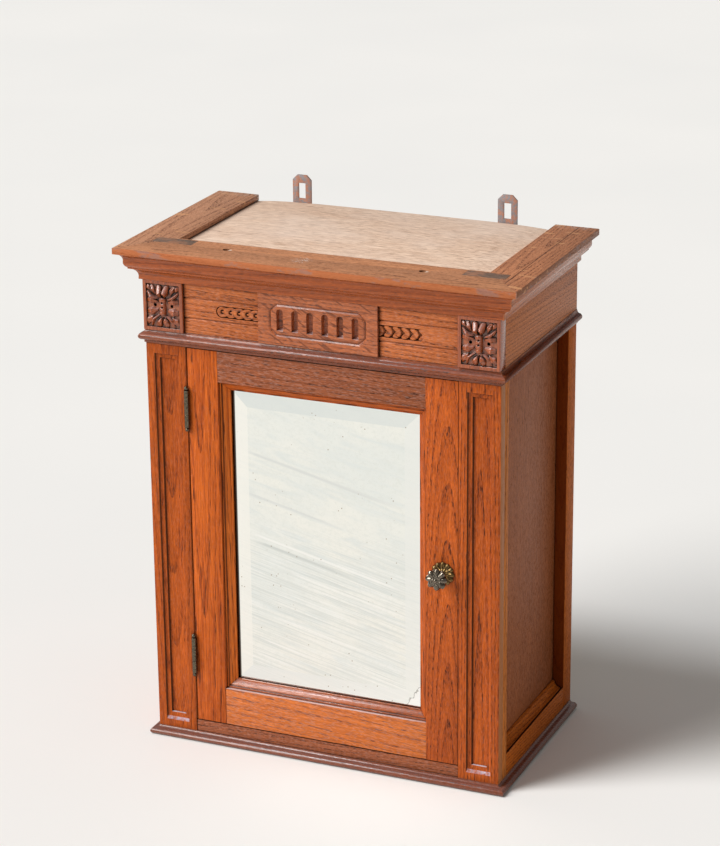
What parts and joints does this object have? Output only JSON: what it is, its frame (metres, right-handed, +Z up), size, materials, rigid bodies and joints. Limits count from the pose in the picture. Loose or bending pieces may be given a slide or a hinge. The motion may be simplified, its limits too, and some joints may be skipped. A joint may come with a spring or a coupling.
{
  "type": "wall cabinet",
  "caption": "Oak wall cabinet with a bevelled mirror door, carved and fluted frieze, moulded cornice and slotted iron hangers for the wall.",
  "frame": {"origin": "middle of the base board's underside, half way between the pilasters' front and the back", "axes": "+Z up, +X to the right of someone who faces the door, +Y from the door to the wall"},
  "size_m": [0.488, 0.278, 0.641],
  "materials": {
    "oak": "stained and waxed, worn edges",
    "pale_oak": "bare, dusty",
    "inner_wood": "bare",
    "grey_key": "grey, weathered",
    "mirror": "bevelled, lightly foxed",
    "brass": "aged",
    "hinge_metal": "darkened",
    "hanger_iron": "painted, rusted",
    "screw_steel": "dull"
  },
  "bodies": {
    "cabinet": {"base_board": "oak", "left_pilaster": "oak", "right_pilaster": "oak", "left_front_post": "oak", "right_front_post": "oak", "left_rear_stile": "oak", "right_rear_stile": "oak", "left_bottom_rail": "oak", "right_bottom_rail": "oak", "left_side_panel": "oak", "right_side_panel": "oak", "left_frieze_rail": "oak", "right_frieze_rail": "oak", "front_bottom_rail": "oak", "left_carved_block": "oak", "right_carved_block": "oak", "left_frieze_strip": "oak", "right_frieze_strip": "oak", "frieze_tablet": "oak", "front_mid_moulding": "oak", "left_mid_moulding": "oak", "right_mid_moulding": "oak", "front_cornice": "oak", "left_cornice": "oak", "right_cornice": "oak", "front_top_board": "oak", "left_top_board": "oak", "right_top_board": "oak", "dust_top": "pale_oak", "door_stop": "inner_wood", "lintel": "inner_wood", "left_back_board": "inner_wood", "middle_back_board": "inner_wood", "right_back_board": "inner_wood", "lower_shelf": "inner_wood", "upper_shelf": "inner_wood", "shelf_cleats": "inner_wood", "corner_keys": "grey_key", "left_hanger": "hanger_iron", "right_hanger": "hanger_iron", "hinge_frame_leaves": "hinge_metal", "hinge_pins": "hinge_metal", "hanger_screws": "screw_steel", "frame_hinge_screws": "screw_steel"},
    "door": {"door_left_stile": "oak", "door_right_stile": "oak", "door_top_rail": "oak", "door_bottom_rail": "oak", "left_mirror_moulding": "oak", "right_mirror_moulding": "oak", "bottom_mirror_moulding": "oak", "top_mirror_moulding": "oak", "mirror_back": "inner_wood", "mirror_glass": "mirror", "hinge_door_leaves": "hinge_metal", "door_hinge_screws": "screw_steel", "knob_rose": "brass"},
    "latch": {"knob": "brass", "latch_tongue": "screw_steel", "latch_nut": "screw_steel"}
  },
  "joints": [
    {"name": "door_swing", "type": "hinge", "parent": "cabinet", "child": "door", "pos_m": [-0.1669, -0.1291, 0.26], "axis": [0, 0, -1], "range_deg": [0, 165]},
    {"name": "latch_turn", "type": "hinge", "parent": "door", "child": "latch", "pos_m": [0.1495, -0.126, 0.263], "axis": [0, -1, 0], "range_deg": [0, 90]}
  ]
}
